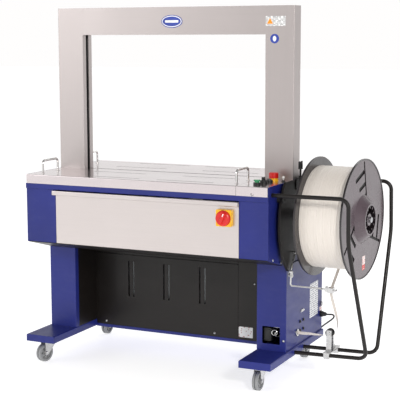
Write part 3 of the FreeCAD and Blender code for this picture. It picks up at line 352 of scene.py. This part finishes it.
def frame_of(normal, up=(0, 0, 1)):
    """Right, up and outward unit vectors of a face seen from outside."""
    out = Vector(normal).normalized()
    right = Vector(up).cross(out)
    right = right.normalized() if right.length > 0.1 else Vector((1, 0, 0))
    return right, out.cross(right), out


def rounded_outline(width, height, radius, steps=6):
    """A rounded rectangle about the origin, as (across, up) pairs."""
    points = []
    for quarter, (sx, sy) in enumerate(((1, 1), (-1, 1), (-1, -1), (1, -1))):
        cx, cy = sx * (width / 2 - radius), sy * (height / 2 - radius)
        for i in range(steps + 1):
            a = math.pi / 2 * (quarter + i / steps)
            points.append((cx + radius * math.cos(a), cy + radius * math.sin(a)))
    return points


def oval_outline(width, height, steps=48):
    turns = [2 * math.pi * i / steps for i in range(steps)]
    return [(width / 2 * math.cos(a), height / 2 * math.sin(a)) for a in turns]


def add_plate(bm, centre, normal, outline, thick, edge=0.25, up=(0, 0, 1)):
    """A closed plate on an outline in millimetres, standing out from its centre, with a bevelled rim."""
    right, upward, out = frame_of(normal, up)
    origin = at(*centre)
    rings = []
    for lift, inset in ((0.0, 0.0), (thick - edge, 0.0), (thick, edge)):
        ring = []
        for u, v in outline:
            length = math.hypot(u, v) or 1.0
            k = (length - inset) / length
            ring.append(bm.verts.new(origin + (right * u * k + upward * v * k + out * lift) * MM))
        rings.append(ring)
    for lower, upper in zip(rings, rings[1:]):
        for i in range(len(lower)):
            j = (i + 1) % len(lower)
            bm.faces.new((lower[i], lower[j], upper[j], upper[i]))
    bm.faces.new(rings[-1])
    bm.faces.new(list(reversed(rings[0])))


def plate(name, body, centre, normal, outline, thick, material, edge=0.25):
    bm = bmesh.new()
    add_plate(bm, centre, normal, outline, thick, edge)
    return finish_piece(name, bm, body, material)


def add_tube(bm, points, radius, steps=16, closed=False):
    """A round wire through points in millimetres, with flat ends."""
    places = [at(*p) for p in points]
    rings = []
    side = None
    turns = [2 * math.pi * k / steps for k in range(steps)]
    for i, place in enumerate(places):
        before = places[i - 1] if i or closed else places[i]
        after = places[(i + 1) % len(places)] if i + 1 < len(places) or closed else places[i]
        along = (after - before).normalized()
        if side is None:
            side = along.orthogonal().normalized()
        side = (side - along * side.dot(along)).normalized()
        other = along.cross(side)
        spokes = [side * math.cos(a) + other * math.sin(a) for a in turns]
        rings.append([bm.verts.new(place + spoke * radius * MM) for spoke in spokes])
    pairs = list(zip(rings, rings[1:])) + ([(rings[-1], rings[0])] if closed else [])
    for lower, upper in pairs:
        for i in range(steps):
            j = (i + 1) % steps
            bm.faces.new((lower[i], lower[j], upper[j], upper[i]))
    if not closed:
        bm.faces.new(list(reversed(rings[0])))
        bm.faces.new(rings[-1])


# ---------------------------------------------------------------- mains cable

CABLE_MM = 7.0
CABLE_ROUTE = [
    (582, 292, 203), (595, 292, 203), (609, 294, 204.5), (616, 299.5, 198), (612, 305, 187),
    (599, 313, 175), (573, 327, 155), (536, 348, 125), (498, 372, 81), (460, 396, 33),
    (416, 415, 4), (360, 427, 3.6), (314, 424, 3.6), (272, 422.5, 3.6),
]
COIL_CENTRE = (255.0, 466.0)
COIL_TURNS = (               # radius and height of each turn
    (43.5, 3.6), (36.5, 3.6), (36.5, 10.6), (43.5, 10.6),
    (43.5, 17.6), (36.5, 17.6), (36.5, 24.6), (43.5, 24.6),
)
POINTS_A_TURN = 18
PLUG_END = [(270, 509.5, 20.5), (282, 509.5, 18.5)]


def coil_points():
    """The turns of the put-away coil, clockwise from its front, then the tail to the plug."""
    points = []
    total = int((len(COIL_TURNS) - 0.5) * POINTS_A_TURN)
    for i in range(1, total + 1):
        turn, part = divmod(i, POINTS_A_TURN)
        radius, height = COIL_TURNS[turn]
        share = part / POINTS_A_TURN
        if turn and share < 0.3:
            k = share / 0.3
            before = COIL_TURNS[turn - 1]
            radius = before[0] + (radius - before[0]) * k
            height = before[1] + (height - before[1]) * k
        a = -math.pi / 2 - 2 * math.pi * i / POINTS_A_TURN
        x, y = COIL_CENTRE
        points.append((x + radius * math.cos(a), y + radius * math.sin(a), height))
    return points


def make_cable():
    """The mains cable: one smooth line from the gland to the coil and on to the plug."""
    points = CABLE_ROUTE + coil_points() + PLUG_END
    data = bpy.data.curves.new("mains_lead", "CURVE")
    data.dimensions = "3D"
    data.bevel_depth = CABLE_MM / 2 * MM
    data.bevel_resolution = 5
    data.resolution_u = 6
    data.use_fill_caps = True
    spline = data.splines.new("NURBS")
    spline.points.add(len(points) - 1)
    for point, place in zip(spline.points, points):
        point.co = (*at(*place), 1.0)
    spline.order_u = 3
    spline.use_endpoint_u = True
    data.materials.append(MATERIALS["cable_rubber"])
    cable = bpy.data.objects.new("mains_lead", data)
    bpy.context.scene.collection.objects.link(cable)
    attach(cable, "root")
    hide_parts("mains_cable", "cable_coil")


make_cable()


# ---------------------------------------------------------------- the reel

REEL_Z = 680.0
REEL_FACE = 836.0
WINDING = (647.2, 829.8, 100.3, 205.0)   # both ends along the axis, then the inner and outer radius
REEL_TURN = Matrix.Rotation(math.radians(-3.0), 3, "Z")
REEL_PIVOT = Vector((569.0, 0.0, 0.0))


def on_reel(x, y, z):
    """A place on the reel, whose axis leans a little towards the front."""
    return REEL_PIVOT + REEL_TURN @ (Vector((x, y, z)) - REEL_PIVOT)


STRAP_MM = 12.0


def make_winding():
    """The wound strap: bands side by side on the outside, each a strap's width, with soft shoulders."""
    x0, x1, inner, outer = WINDING
    profile = [(x0, inner), (x0, outer - 3.0)]
    bands = 15
    width = (x1 - x0) / bands
    for i in range(bands):
        left = x0 + i * width
        drop = (0.0, 0.5, 0.15, 0.7, 0.3)[i % 5]
        profile += [(left + 0.35, outer - 1.3 - drop), (left + 0.9, outer - 0.25 - drop),
                    (left + width - 0.9, outer - 0.25 - drop), (left + width - 0.35, outer - 1.3 - drop)]
    profile += [(x1, outer - 3.0), (x1, inner)]
    bm = bmesh.new()
    rings = []
    steps = 160
    turns = [2 * math.pi * i / steps for i in range(steps)]
    for x, r in profile:
        places = [on_reel(x, r * math.cos(a), REEL_Z + r * math.sin(a)) for a in turns]
        rings.append([bm.verts.new(at(*place)) for place in places])
    for lower, upper in zip(rings, rings[1:] + rings[:1]):
        for i in range(steps):
            j = (i + 1) % steps
            bm.faces.new((lower[i], lower[j], upper[j], upper[i]))
    piece = finish_piece("wound_strap", bm, "reel", MATERIALS["strap"])
    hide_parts("strap_winding")


POCKETS = (                  # start, end and width of each pocket in a group, about the reel's axis
    ((3, 229), (36, 78), 11), ((5, 189), (-86, 157), 17),
    ((22, 141), (-46, 118), 17), ((32, 98), (3, 84), 13),
)
POCKET_SHADE_PLACES = ((831.2, 1), (645.8, -1))   # place along the axis, and which way it faces, of the painted shade in the pockets


def make_painted_pocket_shade():
    """Dull black floors in the pockets on both flanges' outer faces: painted shade in the recesses."""
    black = moulded("pocket_painted_shade", (0.006, 0.005, 0.005), 0.6)
    bm = bmesh.new()
    for x, out in POCKET_SHADE_PLACES:
        for group in range(3):
            turn = Matrix.Rotation(math.radians(120 * group), 2)
            for i, (start, end, width) in enumerate(POCKETS):
                a, b = turn @ Vector(start), turn @ Vector(end)
                side = (b - a).orthogonal().normalized() * (width / 2 - 0.3)
                along = (b - a).normalized() * 0.3
                corners = (a + along + side, b - along + side, b - along - side, a + along - side)
                low, high = ([bm.verts.new(at(*on_reel(x + out * h, y, REEL_Z + z))) for y, z in corners]
                             for h in (0.0, 0.4 + 0.1 * i))
                bm.faces.new(low)
                bm.faces.new(high)
                for k in range(4):
                    bm.faces.new((low[k], low[k - 3], high[k - 3], high[k]))
    finish_piece("painted_pocket_shade", bm, "reel", black)


STRAP_STATIONS = (
    ((720, 143.3, 540), (1, 0, 0)), ((702, 0, 379), (1, 0, 0)), ((703, 0, 358), (1, 0, 0)),
    ((709, 0, 336), (1, 0, 0)), ((717, 0, 309), (1, 0, 0)), ((726, 0, 278), (1, -0.3, 0)),
    ((732, 0, 250), (1, -0.9, 0)), ((732, 0, 226), (0.5, -1, 0.2)), ((726, 0, 206), (0, -1, 0)),
    ((716, 0, 193), (0, -1, 0)), ((708, 0, 189), (0, -1, 0)), ((700, 0, 188.1), (0, -1, 0)),
    ((676, 0, 188.1), (0, -1, 0.3)), ((648, 0, 188.1), (0, -1, 1)), ((616, 0, 188.1), (0, -0.4, 1)),
    ((585, 0, 187.5), (0, 0, 1)), ((545, 0, 187), (0, 0, 1)),
)
STRAP_THICK = 0.9


def make_strap_length(name, stations, pieces):
    """A flat length of strap through (place, width direction) pairs, cut finely between them."""
    fine = []
    for (a, wide_a), (b, wide_b) in zip(stations, stations[1:]):
        for i in range(pieces):
            share = i / pieces
            fine.append((Vector(a).lerp(Vector(b), share), Vector(wide_a).lerp(Vector(wide_b), share)))
    fine.append((Vector(stations[-1][0]), Vector(stations[-1][1])))
    bm = bmesh.new()
    rings = []
    for i, (place, wide) in enumerate(fine):
        along = (fine[min(i + 1, len(fine) - 1)][0] - fine[max(i - 1, 0)][0]).normalized()
        wide = (wide - along * wide.dot(along)).normalized() * (STRAP_MM / 2)
        thin = along.cross(wide).normalized() * (STRAP_THICK / 2)
        corners = (place + wide + thin, place - wide + thin, place - wide - thin, place + wide - thin)
        rings.append([bm.verts.new(at(*corner)) for corner in corners])
    for lower, upper in zip(rings, rings[1:]):
        for k in range(4):
            bm.faces.new((lower[k - 1], lower[k], upper[k], upper[k - 1]))
    bm.faces.new(rings[0])
    bm.faces.new(rings[-1])
    return finish_piece(name, bm, None, MATERIALS["strap"])


def make_strap_run():
    """The strap from the winding to the inlet, in two lengths that meet in the dancer's guide."""
    above = make_strap_length("strap_above_guide", STRAP_STATIONS[:2], 24)
    below = make_strap_length("strap_below_guide", STRAP_STATIONS[1:], 6)
    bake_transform(above)
    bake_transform(below)
    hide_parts("strap_run")
    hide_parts("strap_run")


make_strap_run()
make_winding()
make_painted_pocket_shade()
dress_nodes()


# ---------------------------------------------------------------- badges and labels

BEAM_FACE = -37.0
BADGE = (6, 1459.5)
BEAM_LABEL = (468, 1457.5)
POST_STICKER = (464, 1388)


def make_badges():
    """The oval badge and the label on the beam, and the sticker on the post: shapes with no lettering."""
    white = moulded("badge_white", (0.85, 0.86, 0.88), 0.25, coat=0.5)
    blue = moulded("badge_blue", (0.012, 0.04, 0.33), 0.2, coat=0.6)
    pale = printed("beam_label_print", (0.8, 0.8, 0.79), (0.2, 0.2, 0.22), 190.0, "X")
    orange = moulded("orange_print", (0.9, 0.3, 0.01), 0.3)
    triangle = [(-13, -11), (13, -11), (0, 12)]
    warning = (BEAM_LABEL[0] - 24, BEAM_LABEL[1])
    layers = (               # name, place, height off the face, outline, thickness, material, slot, edge
        ("badge_rim", BADGE, 0, oval_outline(97, 53), 1.2, blue, "blue_paint", 0.25),
        ("badge_ring", BADGE, 1.2, oval_outline(91, 47), 0.4, white, "white_plastic", 0.1),
        ("badge_face", BADGE, 1.6, oval_outline(84, 40), 0.5, blue, "blue_paint", 0.15),
        ("badge_bar", BADGE, 2.1, rounded_outline(62, 10, 3), 0.3, white, "white_plastic", 0.1),
        ("beam_label", BEAM_LABEL, 0, rounded_outline(85, 39, 2), 0.4, pale, "white_plastic", 0.1),
        ("beam_label_mark", warning, 0.4, triangle, 0.2, orange, "yellow_plastic", 0.05),
        ("post_sticker", POST_STICKER, 0, oval_outline(38, 38), 0.4, blue, "blue_paint", 0.1),
        ("post_sticker_ring", POST_STICKER, 0.4, oval_outline(15, 22), 0.2, white, "white_plastic", 0.05),
    )
    for name, (x, z), height, outline, thick, material, slot, edge in layers:
        plate(name, "root", (x, BEAM_FACE - height, z), FRONT, outline, thick, material, edge)


def make_labels():
    """Stickers on the front panel, the right leg and the back, whose print spells nothing."""
    silver = printed("silver_label_print", (0.62, 0.63, 0.64), (0.25, 0.04, 0.04), 120.0, "X", 0.5, 0.08)
    tall = printed("tall_label_print", (0.8, 0.81, 0.82), (0.1, 0.12, 0.2), 110.0, "Y", 0.5)
    small = printed("small_label_print", (0.82, 0.82, 0.8), (0.5, 0.02, 0.02), 240.0, "Y", 0.6)
    rating = printed("rating_label_print", (0.66, 0.67, 0.68), (0.08, 0.08, 0.09), 150.0, "X", 0.45)
    labels = (               # name, place, facing, outline, thickness, material, edge
        ("panel_label", (303.5, 57, 147), FRONT, rounded_outline(65, 46, 2), 0.5, silver, 0.25),
        ("leg_label", (556, 204, 286), RIGHT, rounded_outline(100, 148, 3), 0.5, tall, 0.25),
        ("stud_label", (556, 292, 226), RIGHT, rounded_outline(26, 18, 2), 0.4, small, 0.1),
        ("rating_plate", (-330, 310, 690), BACK, rounded_outline(110, 70, 3), 0.6, rating, 0.25),
    )
    for name, place, facing, outline, thick, material, edge in labels:
        plate(name, "root", place, facing, outline, thick, material, edge)


make_badges()
make_labels()


# ---------------------------------------------------------------- small fittings

def ring_points(centre, radius, normal, steps=28):
    """Points round a circle, in millimetres."""
    right, upward, _ = frame_of(normal)
    turns = [2 * math.pi * i / steps for i in range(steps)]
    return [Vector(centre) + (right * math.cos(a) + upward * math.sin(a)) * radius for a in turns]


def make_leg_contents():
    """What shows through the right leg's window: a junction box, a bar and two plated rings."""
    bm = bmesh.new()
    add_plate(bm, (470, -92, 196), FRONT, rounded_outline(34, 56, 4), 18, 1.5)
    add_plate(bm, (470, -110, 196), FRONT, rounded_outline(24, 44, 3), 2, 0.8)
    finish_piece("junction_box", bm, "root", MATERIALS["black_plastic"])
    bm = bmesh.new()
    rings = (((499, -104, 204), 11, (0.3, -1, 0.1)), ((512, -100, 199), 12, (0.9, -1, 0)))
    for centre, radius, normal in rings:
        add_tube(bm, ring_points(centre, radius, normal), 2.4, 12, closed=True)
    add_tube(bm, [(521, -98, 203), (526, -94, 196), (530, -88, 180), (532, -84, 150)], 2.4, 12)
    add_tube(bm, [(456, -84, 223), (528, -84, 223)], 5.0, 16)
    finish_piece("plated_rings", bm, "root", MATERIALS["zinc_plate"])


GRIP_FACE = (368.5, -345, 697.0)
GRIP_LEAN = 25               # degrees that the grip leans to the right


def make_switch_mark():
    """A white turn mark on the main switch's grip."""
    white = moulded("mark_white", (0.86, 0.86, 0.84), 0.3)
    x, y, z = GRIP_FACE
    lean = math.radians(GRIP_LEAN)
    along = Vector((math.sin(lean), 0, math.cos(lean)))
    mark = (x + 16 * along.x, y, z + 16 * along.z)
    bm = bmesh.new()
    add_plate(bm, mark, FRONT, rounded_outline(4, 13, 1.9), 0.3, 0.1, along)
    finish_piece("grip_mark", bm, "switch_knob", white)


def make_flange_sticker():
    """A small two-coloured sticker low on the outer flange."""
    paper = printed("reel_sticker_print", (0.85, 0.84, 0.82), (0.6, 0.02, 0.02), 170.0, "Y", 0.5)
    red = printed("reel_sticker_red", (0.62, 0.015, 0.012), (0.85, 0.84, 0.82), 130.0, "Y", 0.4, 0.06)
    facing = REEL_TURN @ Vector(RIGHT)
    top, foot = on_reel(REEL_FACE, 14, 513), on_reel(REEL_FACE, 12, 485)
    tall, short = rounded_outline(30, 34, 1.5), rounded_outline(30, 22, 1.5)
    plate("reel_sticker_top", "reel", top, facing, tall, 0.3, paper, 0.08)
    plate("reel_sticker_foot", "reel", foot, facing, short, 0.3, red, 0.08)


def make_clip():
    """The small wire pull on the control plate's front edge."""
    bm = bmesh.new()
    hook = [(479, -310.5, 800), (479, -313.5, 796), (480, -315, 791),
            (483.5, -315.5, 789), (487, -314.5, 791), (488, -312.5, 794)]
    add_tube(bm, hook, 1.3, 12)
    finish_piece("front_clip", bm, "root", MATERIALS["zinc_plate"])


make_leg_contents()
make_switch_mark()
make_flange_sticker()
make_clip()


# ---------------------------------------------------------------- floor, light and sky

def make_stage():
    s = Shader("pale_floor")
    fine = s.noise(s.place, 60.0, 4.0)
    wide = s.noise(s.place, 1.2, 3.0)
    s.set(Base_Color=s.blend(wide, (0.8, 0.8, 0.8), (0.84, 0.84, 0.84)))
    s.set(Roughness=s.spread(fine, 0.5, 0.62))
    s.set(Emission_Color=(1.0, 1.0, 1.0), Emission_Strength=0.6)
    bm = bmesh.new()
    half = 45.0
    corners = ((-half, -half), (half, -half), (half, half), (-half, half))
    bm.faces.new([bm.verts.new((x, y, 0.0)) for x, y in corners])
    mesh = bpy.data.meshes.new("studio_floor")
    bm.to_mesh(mesh)
    bm.free()
    mesh.materials.append(s.material)
    floor = bpy.data.objects.new("studio_floor", mesh)
    bpy.context.scene.collection.objects.link(floor)


def softbox(name, place, target, size, power, colour=(1, 1, 1)):
    data = bpy.data.lights.new(name, "AREA")
    data.shape = "RECTANGLE"
    data.size, data.size_y = size
    data.energy = power
    data.color = colour
    light = bpy.data.objects.new(name, data)
    light.location = place
    light.rotation_euler = (Vector(target) - Vector(place)).to_track_quat("-Z", "Y").to_euler()
    bpy.context.scene.collection.objects.link(light)


def make_sky():
    """A white horizon that fades upwards, so that level faces look darker than upright ones."""
    world = bpy.data.worlds.new("studio_sky")
    world.use_nodes = True
    nodes, links = world.node_tree.nodes, world.node_tree.links
    direction = nodes.new("ShaderNodeTexCoord").outputs["Generated"]
    parts = nodes.new("ShaderNodeSeparateXYZ")
    links.new(direction, parts.inputs[0])
    fade = nodes.new("ShaderNodeMapRange")
    for name, value in (("From Min", 0.08), ("From Max", 0.7), ("To Min", 1.0), ("To Max", 0.42)):
        fade.inputs[name].default_value = value
    links.new(parts.outputs["Z"], fade.inputs["Value"])
    links.new(fade.outputs[0], nodes["Background"].inputs["Strength"])
    nodes["Background"].inputs["Color"].default_value = (1.0, 0.99, 0.985, 1.0)
    bpy.context.scene.world = world


def make_light():
    make_sky()
    softbox("key", (3.5, -4.2, 2.7), (0.45, 0, 0.7), (0.6, 0.6), 120, (1.0, 0.975, 0.94))
    softbox("fill", (-3.6, -3.6, 2.4), (-0.2, 0, 0.7), (2.5, 2.5), 50)
    softbox("back", (0.5, 4.0, 4.0), (0, 0, 0.8), (3.0, 2.0), 60)


make_stage()
make_light()
bpy.context.scene.view_settings.view_transform = "Standard"
